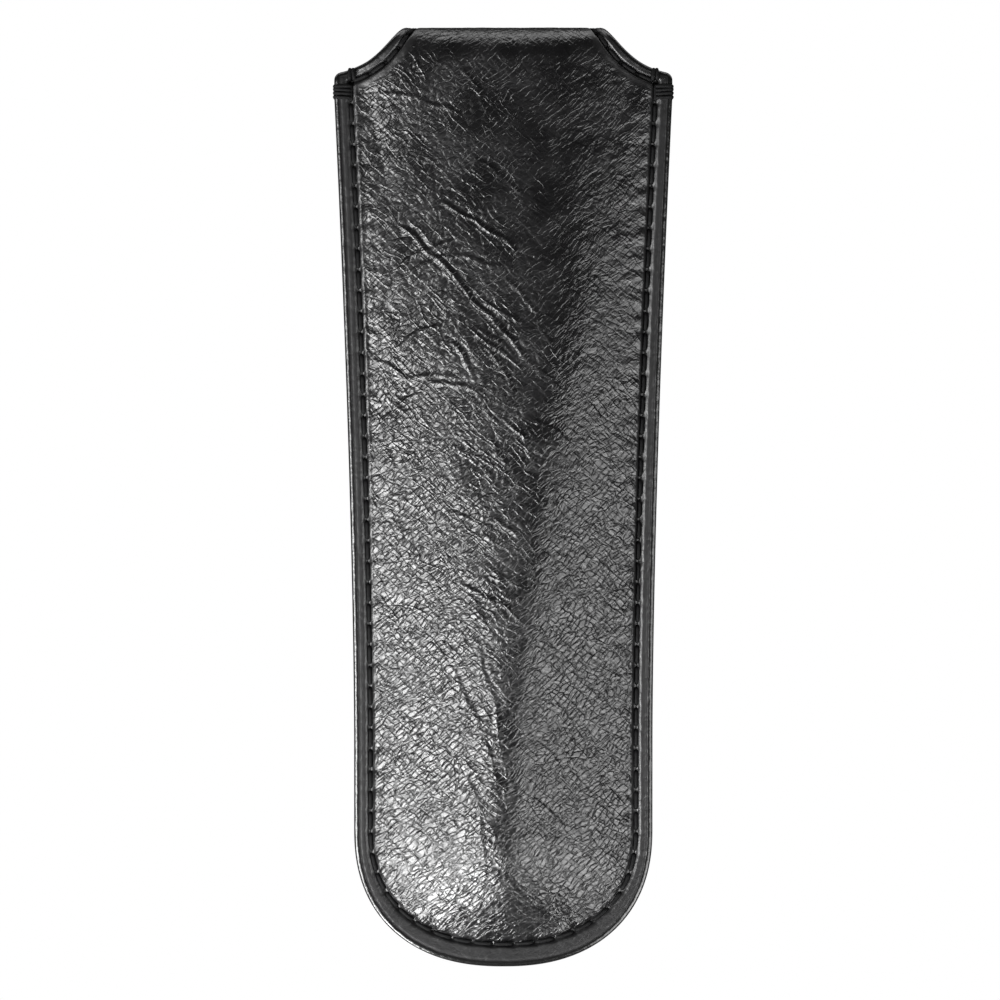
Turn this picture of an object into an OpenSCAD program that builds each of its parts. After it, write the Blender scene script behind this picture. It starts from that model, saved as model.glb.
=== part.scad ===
// Leather case for a fountain pen: a flat sewn pouch with a flap that folds over its mouth.
// The case lies on its front with the back up: X is the width, +Y points to the mouth, Z is up.
// Lengths along the case are measured from the round end; centred() centres them.

/* [Outline] */
// Length from the round end to the outside of the fold
case_length = 165; // [160:1:180]
// Width where the round end begins
end_width = 52.5; // [48:0.5:56]
// Width at the shoulders
shoulder_width = 59.3; // [57:0.1:62]
// Length of the round end
end_depth = 24.2; // [20:0.1:28]
// Squareness of the round end, 2 is an ellipse
end_power = 2.3; // [2:0.1:3]
// Distance from the fold to the top of the side edges
shoulder_drop = 8.2; // [8:0.1:9]
// Radius of the round scoops beside the neck
scoop_radius = 13.6; // [13:0.1:14]
// Narrowest width of the neck, between the scoops
neck_width = 34.6; // [32:0.1:36]

/* [Heights] */
// Height of the back at the fold
fold_height = 18.0; // [17:0.1:19]
// Height of the back at its highest
crest_height = 19.6; // [19:0.1:21]
// Height of the seam at the round end
seam_height_end = 8.6; // [8:0.1:9]
// Height of the seam at the mouth
seam_height_mouth = 12.5; // [12:0.1:13]
// Bend radius of the leather at each fold, to the middle of its thickness
bend_radius = 5.5; // [5:0.1:6]

/* [Layers] */
// Thickness of the leather
leather_t = 1.0; // [0.8:0.05:1.1]
// Thickness of the stiffener boards in the pouch
board_t = 0.5; // [0.4:0.05:0.6]
// Thickness of the lining
lining_t = 0.4; // [0.3:0.05:0.5]
// Thickness of the stiffener board in the flap
flap_board_t = 1.0; // [0.8:0.05:1.0]
// Glue line between two layers
glue = 0.05; // [0.04:0.01:0.06]
// Air between the closed flap and the front
flap_air = 0.35; // [0.3:0.01:0.4]

/* [Flap] */
// Distance from the fold to the tip of the flap
flap_length = 64; // [60:1:66]
// Width of the flap at its shoulders
flap_width = 54; // [50:0.5:56]
// Width of the flap where its round tip begins
flap_tip_width = 49; // [46:0.5:50]
// Length of the round tip
flap_tip_depth = 23; // [20:0.5:26]

/* [Mouth] */
// Distance from the fold to the mouth edge at the sides
mouth_drop = 10; // [10:0.5:12]
// How far the mouth edge dips in the middle
mouth_dip = 6; // [4:0.5:8]

/* [Closure] */
// Diameter of the magnet in the flap
magnet_d = 10; // [8:0.5:12]
// Diameter of the steel disc in the front
keeper_d = 12; // [10:0.5:13]
// Distance from the fold to the closure
closure_drop = 53; // [50:1:54]

/* [Sewing] */
// Distance of the side seam from the edge
seam_inset = 3.1; // [2.8:0.1:3.2]
// Distance of the edge stitching from the edges of the scoops and the flap
edge_inset = 2.0; // [1.8:0.1:2.4]
// Width of a row of stitching
thread_w = 0.6; // [0.5:0.05:0.7]
// Height of a row of stitching
thread_h = 0.3; // [0.2:0.05:0.35]

/* [Hidden] */
$fn = 48;

margin = seam_inset + 0.5;          // flat sewn edge, up to where the panels start to rise
taper_start = 40;                   // where the sides begin to widen
taper_power = 1.6;
shoulder_y = case_length - shoulder_drop;
bend_y = case_length - leather_t / 2 - bend_radius;   // where the back starts to bend
back_mid_z = fold_height - leather_t / 2;             // middle of the leather before the bend
front_mid_z = leather_t / 2;                          // and after the second bend
back_bend_z = back_mid_z - bend_radius;
front_bend_z = front_mid_z + bend_radius;
half_drop = (back_bend_z - front_bend_z) / 2;         // half of the straight between the bends
bend_l = bend_radius * PI / 2;
mouth_y = case_length - mouth_drop;
flap_tip_y = case_length - flap_length;
flap_round_y = flap_tip_y + flap_tip_depth;
closure_y = case_length - closure_drop;
flap_stack = leather_t + 2 * glue + flap_board_t + lining_t;
front_recess = flap_stack + flap_air;                 // how far the front steps back for the flap
recess_end_y = flap_tip_y - 2;
recess_start_y = recess_end_y - 7;
board_end_y = 148;                                    // the back board stops short of the mouth
inward = [0, 1];                    // from the outside of the flat flap to its lining
bartack_l = mouth_y - board_end_y - 0.5;
thread_gap = 6;                     // degrees of each bend left bare beside its middle
mouth_thread_h = 0.2;               // the flap lies close over the hem stitching
flap_thread_y = shoulder_y - 1;     // the edge stitching of the flap ends near the bend

ring_count = 7;                     // rings from the spine to the stitching, then the edge
back_flat = 19;                     // half width of the flat crest at the mouth
front_flat = 0.5;                   // share of the front that is flat
half_turn = 45;                     // each bend is shared by the two pieces that meet there

function smooth(t) = let (c = min(1, max(0, t))) c * c * (3 - 2 * c);
function mix(a, b, t) = a + (b - a) * t;

// Half width of the case along its sides
function side_hw(y) =
    end_width / 2
    + (shoulder_width - end_width) / 2
      * pow(min(1, max(0, (y - taper_start) / (shoulder_y - taper_start - 4))), taper_power);

// Half width between the scoops, at a distance u from the middle of the neck
function scoop_hw(u) =
    abs(u) >= scoop_radius
        ? 100
        : neck_width / 2 + scoop_radius - sqrt(scoop_radius * scoop_radius - u * u);

// Distance from the middle of the neck for a place on the back or front, or on a bend
function neck_u(y, turn) = half_drop + bend_l * (1 - turn / 90) + max(0, bend_y - y);

// A place on the back bend: turn is 0 where the bend starts
function on_back(turn, off) = [
    bend_y + (bend_radius + off) * sin(turn),
    back_bend_z + (bend_radius + off) * cos(turn)
];

// Stations down the right edge: [edge x, edge y, spine y, turn round the bend]
arc_turns = [for (t = [half_turn : -15 : 0]) t];
back_ys = [
    bend_y - 0.8, bend_y - 1.6, shoulder_y, shoulder_y - 1.4, mouth_y - 3,
    board_end_y, 138, 126, 114, 102, 90, 78, 66, 54, 42, 33
];
front_ys = [
    mouth_y, board_end_y, 138, 126, 114, 106, recess_end_y, mix(recess_end_y, recess_start_y, 0.5),
    recess_start_y, 84, 78, 66, 54, 42, 33
];
end_turns = [for (a = [0 : 10 : 90]) a];
end_centre_y = end_depth + 1;

function end_station(a) = [
    end_width / 2 * pow(max(0, cos(a)), 2 / end_power),
    end_depth * (1 - pow(sin(a), 2 / end_power)),
    end_centre_y,
    0
];

back_stations = concat(
    [for (t = arc_turns) [scoop_hw(neck_u(bend_y, t)), bend_y, bend_y, t]],
    [for (y = back_ys) [min(side_hw(y), scoop_hw(neck_u(y, 0))), y, y, 0]],
    [for (a = end_turns) end_station(a)]
);
front_stations = concat(
    [for (y = front_ys)
        [side_hw(y), y, y - mouth_dip * smooth((y - 110) / (mouth_y - 110)), 0]],
    [for (a = end_turns) end_station(a)]
);

function seam_z(y) = mix(seam_height_end, seam_height_mouth, smooth(y / mouth_y));
function crest_z(y) =
    mix(crest_height, fold_height, smooth((y - 80) / (bend_y - 80)))
    - 0.8 * (1 - smooth(y / 60));
function front_z(y) = front_recess * smooth((y - recess_start_y) / (recess_end_y - recess_start_y));

// How much of the full rise a ring has; rings run from 0 at the spine to 1 at the stitching
function back_rise(ring, y) =
    let (flat = back_flat / side_hw(y) * smooth((y - 85) / (bend_y - 85)))
    cos(90 * max(0, ring - flat) / (1 - flat));
function front_rise(ring) = cos(90 * max(0, ring - front_flat) / (1 - front_flat));

// Share of the full width at ring k of a station; the last ring is the outer edge
function ring_share(s, k) =
    let (reach = norm([s[0], s[1] - s[2]]))
    k > ring_count ? 1 : (1 - margin / reach) * k / ring_count;

// Lifts the edge of the back to the height of the fold between the shoulders and the bend
function edge_lift(y) = smooth((y - shoulder_y + 1.4) / (bend_y - shoulder_y + 1.4));

// Room for the board, closed at the stitching and where the board stops
function board_room(k, y, top_y) = (k < ring_count && y <= top_y) ? glue + board_t : 0;

// Point of the back at station s and ring k, depth below the outside of the leather
function back_point(s, k, depth, side) =
    let (
        share = ring_share(s, k),
        ring = min(1, k / ring_count),
        edge_z = mix(seam_z(s[1]) + lining_t + 1.5 * glue + leather_t, fold_height, edge_lift(s[1])),
        rise = k > ring_count ? 0 : back_rise(ring, s[2]),
        z = mix(edge_z, crest_z(s[2]), rise),
        bent = on_back(s[3], leather_t / 2 - depth)
    )
    s[3] > 0
        ? [side * s[0] * share, bent[0], bent[1]]
        : [side * s[0] * share, mix(s[2], s[1], share), z - depth];

function front_point(s, k, depth, side) =
    let (
        share = ring_share(s, k),
        ring = min(1, k / ring_count),
        bow = s[1] > end_depth ? share * share : share,
        edge_z = seam_z(s[1]) - lining_t - 1.5 * glue - leather_t,
        rise = k > ring_count ? 0 : front_rise(ring),
        z = mix(edge_z, front_z(s[2]), rise)
    )
    [side * s[0] * share, mix(s[2], s[1], bow), z + depth];

// Closed shell of one layer of the back or front, over the same stations and rings as its
// neighbours. The left half mirrors the right half and shares its spine.
module panel(stations, face, last_ring, depth, thick, roomy = false) {
    n = len(stations);
    runs = 2 * n - 1;
    rings = last_ring + 1;
    count = runs * rings;
    first_end = len([for (s = stations) if (s[1] > end_depth) s]);
    function mirrored(i) = min(i, runs - 1 - i);
    function side(i) = i < n ? 1 : -1;
    function layer(d) = [
        for (i = [0 : runs - 1])
            for (k = [0 : last_ring])
                let (
                    s = stations[mirrored(i)],
                    extra = roomy ? board_room(k, s[2], face == "back" ? board_end_y : mouth_y - 8) : 0
                )
                face == "back"
                    ? back_point(s, k, d + extra, side(i))
                    : front_point(s, k, d + extra, side(i))
    ];
    function at(i, k, low) =
        (k == 0 ? min(mirrored(i), first_end) : i) * rings + k + low * count;
    quads = concat(
        [for (i = [0 : runs - 2]) for (k = [0 : last_ring - 1]) each [
            [at(i, k, 0), at(i, k + 1, 0), at(i + 1, k + 1, 0), at(i + 1, k, 0)],
            [at(i, k, 1), at(i + 1, k, 1), at(i + 1, k + 1, 1), at(i, k + 1, 1)]
        ]],
        [for (i = [0 : runs - 2])
            [at(i, last_ring, 0), at(i, last_ring, 1), at(i + 1, last_ring, 1), at(i + 1, last_ring, 0)]],
        [for (k = [0 : last_ring - 1]) each [
            [at(0, k, 0), at(0, k, 1), at(0, k + 1, 1), at(0, k + 1, 0)],
            [at(runs - 1, k, 0), at(runs - 1, k + 1, 0), at(runs - 1, k + 1, 1), at(runs - 1, k, 1)]
        ]]
    );
    tris = [
        for (q = quads) for (t = [[q[0], q[1], q[2]], [q[0], q[2], q[3]]])
            if (t[0] != t[1] && t[1] != t[2] && t[2] != t[0]) t
    ];
    polyhedron(
        points = concat(layer(depth), layer(depth + thick)),
        faces = face == "back" ? tris : flipped(tris)
    );
}

// A place on the front bend: turn is 0 where the flap begins to lie flat
function on_front(turn, off) = [
    bend_y + (bend_radius + off) * sin(turn),
    front_bend_z - (bend_radius + off) * cos(turn)
];

// Half width of the flap where it lies flat
function flap_side_hw(y) =
    mix(flap_tip_width, flap_width, smooth((y - flap_round_y) / (shoulder_y - flap_round_y))) / 2;

// Rows along a strip: [half width, place on the outside, direction inward, extra depth of the lining]
function bend_row(turn, front) =
    let (
        outer = front ? on_front(turn, leather_t / 2) : on_back(turn, leather_t / 2),
        inner = front ? on_front(turn, leather_t / 2 - 1) : on_back(turn, leather_t / 2 - 1)
    )
    [scoop_hw(neck_u(bend_y, turn)), outer, inner - outer, 0];
function flat_row(hw, y) =
    [hw, [y, 0], inward, (flap_board_t + glue) * (1 - smooth((y - flap_board_y) / (bend_y - flap_board_y)))];

flap_board_y = shoulder_y - 3;      // the flap's board stops short of the bend
flap_flat_ys = [
    bend_y - 0.8, bend_y - 1.6, shoulder_y, shoulder_y - 1.5, flap_board_y, 146, 138, 131, flap_round_y
];
neck_rows = concat(
    [for (t = [half_turn : 15 : 90]) bend_row(t, false)],
    [for (t = [90 : -15 : half_turn]) bend_row(t, true)]
);
flap_rows = concat(
    [for (t = [half_turn : -15 : 0]) bend_row(t, true)],
    [for (y = flap_flat_ys) flat_row(min(flap_side_hw(y), scoop_hw(neck_u(y, 0))), y)],
    [for (a = [10 : 10 : 80])
        flat_row(
            flap_tip_width / 2 * pow(cos(a), 2 / end_power),
            flap_round_y - flap_tip_depth * pow(sin(a), 2 / end_power)
        )],
    [flat_row(2, flap_tip_y)]
);

// Outline of the flat part of the flap, drawn in from its edge
function flap_side(inset, top_y) = concat(
    [for (y = [top_y : -5 : flap_round_y + 1]) [flap_side_hw(y) - inset, y]],
    [for (a = [0 : 6 : 84]) [
        (flap_tip_width / 2 - inset) * pow(cos(a), 2 / end_power),
        flap_round_y - (flap_tip_depth - inset) * pow(sin(a), 2 / end_power)
    ]],
    [[0, flap_tip_y + inset]]
);
module flap_outline(inset, top_y) {
    right = flap_side(inset, top_y);
    left = [for (i = [len(right) - 2 : -1 : 0]) [-right[i][0], right[i][1]]];
    polygon(concat(right, left));
}

// Closed strip between two depths below the outside of a row of places, from x = lo to x = hi
module strip(rows, los, his, depth, thick, lined = 0) {
    n = len(rows);
    function place(i, d) = rows[i][1] + rows[i][2] * (d + lined * rows[i][3]);
    function corner(i, x, d) = let (p = place(i, d)) [x, p[0], p[1]];
    points = [
        for (i = [0 : n - 1]) each [
            corner(i, los[i], depth), corner(i, his[i], depth),
            corner(i, his[i], depth + thick), corner(i, los[i], depth + thick)
        ]
    ];
    polyhedron(points = points, faces = flipped(tube_faces(n)));
}
function flipped(faces) = [for (f = faces) [f[2], f[1], f[0]]];

// Triangles round a run of four-cornered sections, with both ends closed
function tube_faces(n) = concat(
    [for (i = [0 : n - 2]) for (c = [0 : 3]) let (a = 4 * i + c, b = 4 * i + (c + 1) % 4)
        each [[a, b, b + 4], [a, b + 4, a + 4]]],
    [[3, 2, 1], [3, 1, 0]],
    [[4 * n - 4, 4 * n - 3, 4 * n - 2], [4 * n - 4, 4 * n - 2, 4 * n - 1]]
);

// Row of stitching that lies on a face along a run of points, standing up or down from it
module stitch_row(path, up, high = thread_h) {
    n = len(path);
    function across(i) =
        let (
            a = path[max(0, i - 1)],
            b = path[min(n - 1, i + 1)],
            d = [b[0] - a[0], b[1] - a[1]]
        )
        [d[1], -d[0], 0] / norm(d) * thread_w / 2;
    points = [
        for (i = [0 : n - 1]) let (w = across(i), h = [0, 0, up * high]) each [
            path[i] - w, path[i] + w, path[i] + w + h, path[i] - w + h
        ]
    ];
    polyhedron(points = points, faces = up > 0 ? tube_faces(n) : flipped(tube_faces(n)));
}

// Run of points at a set distance in from the edge, on the outside of the back or the front
function seam_path(stations, face, lift) =
    let (
        n = len(stations),
        runs = 2 * n - 1,
        dz = lining_t + 1.5 * glue + leather_t + lift,
        up = face == "back" ? 1 : -1
    )
    [
        for (i = [0 : runs - 1])
            let (
                s = stations[i < n ? i : runs - 1 - i],
                q = 1 - seam_inset / norm([s[0], s[1] - s[2]])
            )
            [(i < n ? 1 : -1) * s[0] * q, mix(s[2], s[1], q), seam_z(s[1]) + up * dz]
    ];

// The origin is under the middle of the case, stitching included
module centred() {
    translate([0, -(case_length + thread_h + 2 * glue) / 2, 0]) children();
}

// ---- pouch ----

leather_colour = "#26262a";
lining_colour = "#1b1b1d";
board_colour = "#8a7a63";
thread_colour = "#0c0c0e";
metal_colour = "#b8bcc2";

back_board_stations = [for (s = back_stations) if (s[2] <= board_end_y) s];
front_board_stations = [for (s = front_stations) if (s[2] <= recess_start_y) s];
sewn_back = [for (s = back_stations) if (s[1] <= board_end_y) s];
sewn_front = [for (s = front_stations) if (s[1] <= board_end_y) s];

module back_leather() {
    color(leather_colour) centred() panel(back_stations, "back", ring_count + 1, 0, leather_t);
}
module back_stiffener() {
    color(board_colour) centred()
        panel(back_board_stations, "back", ring_count - 1, leather_t + glue, board_t);
}
module back_lining() {
    color(lining_colour) centred()
        panel(back_stations, "back", ring_count + 1, leather_t + glue, lining_t, true);
}
module front_leather() {
    color(leather_colour) centred() panel(front_stations, "front", ring_count + 1, 0, leather_t);
}
module front_stiffener() {
    color(board_colour) centred()
        panel(front_board_stations, "front", ring_count - 1, leather_t + glue, board_t);
}
module front_lining() {
    color(lining_colour) centred()
        panel(front_stations, "front", ring_count + 1, leather_t + glue, lining_t, true);
}

// Steel disc that the flap's magnet pulls on, glued behind the front leather
module keeper_disc() {
    color(metal_colour) centred()
        translate([0, closure_y, front_recess + leather_t + glue])
            cylinder(d = keeper_d, h = board_t - glue);
}

module seam_thread_back() {
    color(thread_colour) centred() stitch_row(seam_path(sewn_back, "back", glue), 1);
}
module seam_thread_front() {
    color(thread_colour) centred() stitch_row(seam_path(sewn_front, "front", glue), -1);
}

// Hem stitching along the dipped mouth edge of the front
module mouth_thread() {
    s = front_stations[0];
    run = [
        for (side = [1, -1]) for (j = side > 0 ? [ring_count : -1 : 0] : [1 : ring_count])
            front_point(s, j, 0, side) - [0, edge_inset, glue]
    ];
    color(thread_colour) centred() stitch_row(run, -1, mouth_thread_h);
}

// Stitching beside the scoops, from the shoulders up to the bend
module notch_threads() {
    start_y = bend_y - 0.8;
    rows = concat(
        [[scoop_hw(neck_u(start_y, 0)), [start_y, fold_height], [0, -1], 0]],
        [for (t = [0 : 15 : 30]) bend_row(t, false)],
        [bend_row(half_turn - thread_gap, false)]
    );
    color(thread_colour) centred() edge_threads(rows);
}
module edge_threads(rows) {
    outer = [for (r = rows) r[0] - edge_inset + thread_w / 2];
    inner = [for (r = rows) r[0] - edge_inset - thread_w / 2];
    for (side = [0, 1]) mirror([side, 0, 0]) strip(rows, inner, outer, -thread_h - 2 * glue, thread_h);
}

// Thick lock stitching at the end of a side seam
module bartack(side) {
    s = back_stations[len(arc_turns) + 3];
    top = seam_z(mouth_y) + lining_t + 1.5 * glue + leather_t;
    color(thread_colour) centred()
        translate([side * (s[0] - seam_inset), mouth_y - bartack_l / 2, top + thread_h / 2 + glue])
            cube([2 * thread_w, bartack_l, thread_h], center = true);
}
module bartack_left() bartack(-1);
module bartack_right() bartack(1);

// ---- neck ----

module layer_strip(rows, depth, thick, lined = 0, inset = 0) {
    widths = [for (r = rows) r[0] - inset];
    strip(rows, -widths, widths, depth, thick, lined);
}
module neck_leather() {
    color(leather_colour) centred() layer_strip(neck_rows, 0, leather_t);
}
module neck_lining() {
    color(lining_colour) centred() layer_strip(neck_rows, leather_t + glue, lining_t);
}
module neck_threads() {
    turns = [half_turn + thread_gap, 60, 75, 90];
    rows = [
        for (front = [false, true]) for (i = [0 : 3]) bend_row(turns[front ? 3 - i : i], front)
    ];
    color(thread_colour) centred() edge_threads(rows);
}

// ---- flap ----

module flap_leather() {
    color(leather_colour) centred() difference() {
        layer_strip(flap_rows, 0, leather_t);
        flap_thread_ring(2 * glue, -1, thread_h + 2 + glue);
    }
}
module flap_thread_ring(extra, z, h) {
    translate([0, 0, z]) linear_extrude(h) difference() {
        flap_outline(edge_inset - thread_w / 2 - extra, flap_thread_y);
        flap_outline(edge_inset + thread_w / 2 + extra, flap_thread_y + 1);
    }
}
module flap_thread() {
    color(thread_colour) centred() flap_thread_ring(0, glue, thread_h - glue);
}

// Board that keeps the flap flat, with a hole for the magnet
module flap_stiffener() {
    color(board_colour) centred() translate([0, 0, leather_t + glue]) difference() {
        linear_extrude(flap_board_t) flap_outline(edge_inset + 1.5, flap_board_y);
        translate([0, closure_y, -1]) cylinder(d = magnet_d + 0.4, h = flap_board_t + 2);
    }
}
module flap_magnet() {
    color(metal_colour) centred()
        translate([0, closure_y, leather_t + glue]) cylinder(d = magnet_d, h = flap_board_t);
}
module flap_lining() {
    color(lining_colour) centred() layer_strip(flap_rows, leather_t + glue, lining_t, 1);
}

back_leather();
back_stiffener();
back_lining();
front_leather();
front_stiffener();
front_lining();
keeper_disc();
seam_thread_back();
seam_thread_front();
mouth_thread();
notch_threads();
bartack_left();
bartack_right();
neck_leather();
neck_lining();
neck_threads();
flap_leather();
flap_stiffener();
flap_magnet();
flap_lining();
flap_thread();
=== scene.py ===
"""Leather fountain pen case, closed, lying on its flap with the back up.

The leather is drawn in the flat, as it was cut: x is the width and v the length from the round
end, over the back, the neck and the flap, all in millimetres. laid() bends that flat pattern to
its closed shape, and every layer, stitch and edge is placed through it. The CAD frame gives the
size and the bodies that the pieces ride on.
"""

import math

import bmesh
import bpy
import numpy as np
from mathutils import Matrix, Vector
from mathutils.kdtree import KDTree


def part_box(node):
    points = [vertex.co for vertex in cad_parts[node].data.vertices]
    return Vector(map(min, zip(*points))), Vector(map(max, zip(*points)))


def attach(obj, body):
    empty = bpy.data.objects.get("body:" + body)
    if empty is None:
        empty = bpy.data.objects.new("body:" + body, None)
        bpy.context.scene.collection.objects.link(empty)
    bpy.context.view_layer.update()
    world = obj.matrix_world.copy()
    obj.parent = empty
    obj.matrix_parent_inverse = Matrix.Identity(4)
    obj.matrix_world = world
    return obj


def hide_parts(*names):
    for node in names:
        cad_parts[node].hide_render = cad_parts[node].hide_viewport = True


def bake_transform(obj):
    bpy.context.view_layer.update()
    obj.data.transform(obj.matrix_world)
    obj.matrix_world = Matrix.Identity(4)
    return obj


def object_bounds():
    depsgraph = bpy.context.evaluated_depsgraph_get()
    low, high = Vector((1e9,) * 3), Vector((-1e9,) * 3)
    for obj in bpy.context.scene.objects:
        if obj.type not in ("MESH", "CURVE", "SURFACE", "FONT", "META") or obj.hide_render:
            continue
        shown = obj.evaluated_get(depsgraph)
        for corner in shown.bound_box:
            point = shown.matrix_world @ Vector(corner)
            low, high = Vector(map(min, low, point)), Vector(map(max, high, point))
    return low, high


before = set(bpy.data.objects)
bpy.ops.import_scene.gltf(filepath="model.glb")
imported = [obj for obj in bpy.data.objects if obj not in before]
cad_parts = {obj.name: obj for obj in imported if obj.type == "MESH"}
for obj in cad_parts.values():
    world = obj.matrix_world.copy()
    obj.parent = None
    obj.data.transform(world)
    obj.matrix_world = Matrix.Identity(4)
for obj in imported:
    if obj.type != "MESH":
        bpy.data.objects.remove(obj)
CAD_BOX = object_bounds()

# ---- sizes, in millimetres, from the frame where it has them ----
MM = 0.001


def in_mm(box):
    """The low and the high corner of a box."""
    return [np.array(corner) / MM for corner in box]


case_low, _ = in_mm(CAD_BOX)
_, neck_high = in_mm(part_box("neck_leather"))
_, back_high = in_mm(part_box("back_leather"))
flap_low, flap_high = in_mm(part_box("flap_leather"))

END_Y = case_low[1]  # the round end, where v is 0
CASE_L = neck_high[1] - END_Y
SHOULDER_HW = back_high[0]
CREST_Z = back_high[2]
FLAP_HW = flap_high[0]
FLAP_TIP_V = flap_low[1] - END_Y

END_HW = 26.25  # half width where the round end begins
END_DEPTH = 24.2
END_POWER = 2.3  # 2 would be an ellipse
WIDEN_V = 40.0  # the sides spread from here, over WIDEN_L
WIDEN_L = CASE_L - 8.2 - 44.0
SCOOP_R = 13.6
NECK_HW = 17.3
CORNER_R = 1.3  # shoulder corners
FOLD_Z = 18.0
LEVEL_V = 132  # the middle of the back starts to level out towards the fold here, the sides later
SHOULDER_SAG = 5.2
CREST_FALLS_V = 80  # the crest comes down to the fold from here
END_DIP = 0.8  # and it lies this much lower at the round end
END_DIP_V = 60
CREST_X_END = 0.2  # sideways place of the crest at the round end
CREST_DRIFT = 6.5  # and how much further right it is by the mouth
DRIFT_V = (22, 85)  # where it starts to drift, and over what length
CREST_SOFT = (0.16, 0.8)  # how gently the two flanks meet, at the round end and by the mouth
SEAM_Z_END = 8.6
SEAM_Z_MOUTH = 12.5
MOUTH_V = CASE_L - 10.0
MOUTH_DIP = 6.0
LEATHER_T = 1.0
LINING_T = 0.4
BOARD_T = 0.5
FLAP_BOARD_T = 1.0
GLUE = 0.05
TINY = 1e-6
SEAM_STACK = LEATHER_T + LINING_T + 1.5 * GLUE  # from the middle of the seam to its face
FLAP_STACK = LEATHER_T + 2 * GLUE + FLAP_BOARD_T + LINING_T
FRONT_RECESS = FLAP_STACK + 0.35

QUARTER = math.pi / 2  # a quarter turn
BEND_MID_R = 5.5
BEND_R = BEND_MID_R + LEATHER_T / 2  # outside of the leather
BEND_L = BEND_MID_R * QUARTER
BEND_V = CASE_L - BEND_R  # the back starts to bend here
BACK_BEND_Z = FOLD_Z - BEND_R
FRONT_BEND_Z = BEND_R
HALF_DROP = (BACK_BEND_Z - FRONT_BEND_Z) / 2
NECK_V = BEND_V + BEND_L + HALF_DROP  # middle of the neck
FLAP_V = NECK_V + HALF_DROP + BEND_L  # the flap lies flat from here on
TIP_V = FLAP_V + BEND_V - FLAP_TIP_V
FLAP_ROUND = 23.0  # length of the flap's round tip
FLAP_TIP_HW = 24.5
SCOOP_X = NECK_HW + SCOOP_R

STITCH = 3.67  # length of one stitch
SEAM_INSET = 2.9
SEAM_TOP_V = 155.4
SEAM_INSET_END = 4.0
SCOOP_INSET = 2.1
EDGE_R = 0.45  # the painted edges round off over EDGE_W and drop by EDGE_R
EDGE_W = 0.85
ROOF_INSET = SEAM_INSET + 0.5  # the panel rises from here inward
ROOF_INSET_END = SEAM_INSET_END + 0.5
PUFF = 0.03  # how much the panel swells right beside its stitching
FAN_V = END_DEPTH + 1.3  # the panel's rows turn about this point at the round end
END_STEPS = 400  # points on half of the round end


def smooth(t):
    t = np.clip(t, 0.0, 1.0)
    return t * t * (3 - 2 * t)


def mix(a, b, t):
    return a + (b - a) * t


# ---- flat pattern ----


def side_hw(v):
    """Half width along the straight sides."""
    rise = np.clip((v - WIDEN_V) / WIDEN_L, 0.0, 1.0) ** 1.6
    return END_HW + (SHOULDER_HW - END_HW) * rise


def seam_z(v):
    """Height of the middle of the seam."""
    return mix(SEAM_Z_END, SEAM_Z_MOUTH, smooth(v / MOUTH_V))


def crest_z(v):
    """Height of the crest of the back."""
    falls = smooth((v - CREST_FALLS_V) / (BEND_V - CREST_FALLS_V))
    return mix(CREST_Z, FOLD_Z, falls) - END_DIP * (1 - smooth(v / END_DIP_V))


def crest_shift(v):
    """Sideways place of the soft crest, which has drifted to the right towards the mouth."""
    start, length = DRIFT_V
    return CREST_X_END + CREST_DRIFT * smooth((v - start) / length)


def round_end(inset_side, inset_end, steps):
    """Right half of the round end, from the side to the tip."""
    a = np.linspace(0, QUARTER, steps)
    x = (END_HW - inset_side) * np.cos(a).clip(0) ** (2 / END_POWER)
    v = END_DEPTH - (END_DEPTH - inset_end) * np.sin(a) ** (2 / END_POWER)
    return np.column_stack([x, v])


def run_along(line):
    """How far along the line each of its points is."""
    step = np.linalg.norm(np.diff(line, axis=0), axis=1)
    return np.concatenate([[0], np.cumsum(step)])


def at_run(line, run, s):
    """The places that are s along the line."""
    return np.column_stack([np.interp(s, run, line[:, c]) for c in (0, 1)])


def respaced(line, spacing):
    """The same line with its points about spacing apart."""
    run = run_along(line)
    return at_run(line, run, np.linspace(0, run[-1], max(2, int(round(run[-1] / spacing)) + 1)))


def back_outline(inset=0.0):
    """Right edge of the back leather, from the middle of the neck to the tip of the round end."""
    r = SCOOP_R + inset
    corner_x = SHOULDER_HW - CORNER_R - inset
    drop = math.sqrt((r + CORNER_R) ** 2 - (SCOOP_X - corner_x) ** 2)
    corner_v = NECK_V - drop
    last = math.atan2(drop, SCOOP_X - corner_x)
    a = np.linspace(0, last, 60)
    scoop = np.column_stack([SCOOP_X - r * np.cos(a), NECK_V - r * np.sin(a)])
    t = np.linspace(last, 0, 12)[1:]
    corner = np.column_stack([corner_x + CORNER_R * np.cos(t), corner_v + CORNER_R * np.sin(t)])
    v = np.linspace(corner_v, END_DEPTH, 200)[1:-1]
    side = np.column_stack([side_hw(v) - inset, v])
    return np.vstack([scoop, corner, side, round_end(inset, inset, END_STEPS)])


def flap_outline(inset=0.0):
    """Right edge of the flap leather, from the middle of the neck to the flap's tip."""
    r = SCOOP_R + inset
    round_v = TIP_V - FLAP_ROUND
    last = math.acos((SCOOP_X - FLAP_HW + inset) / r)
    a = np.linspace(0, last, 60)
    scoop = np.column_stack([SCOOP_X - r * np.cos(a), NECK_V + r * np.sin(a)])
    v = np.linspace(NECK_V + r * math.sin(last), round_v, 80)[1:-1]
    flank = mix(FLAP_TIP_HW, FLAP_HW, smooth((round_v - v) / (round_v - FLAP_V))) - inset
    b = np.linspace(0, QUARTER, 200)
    tip_x = (FLAP_TIP_HW - inset) * np.cos(b).clip(0) ** (2 / END_POWER)
    tip_v = round_v + (FLAP_ROUND - inset) * np.sin(b) ** (2 / END_POWER)
    return np.vstack([scoop, np.column_stack([flank, v]), np.column_stack([tip_x, tip_v])])


# ---- the closed shape ----

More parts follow.
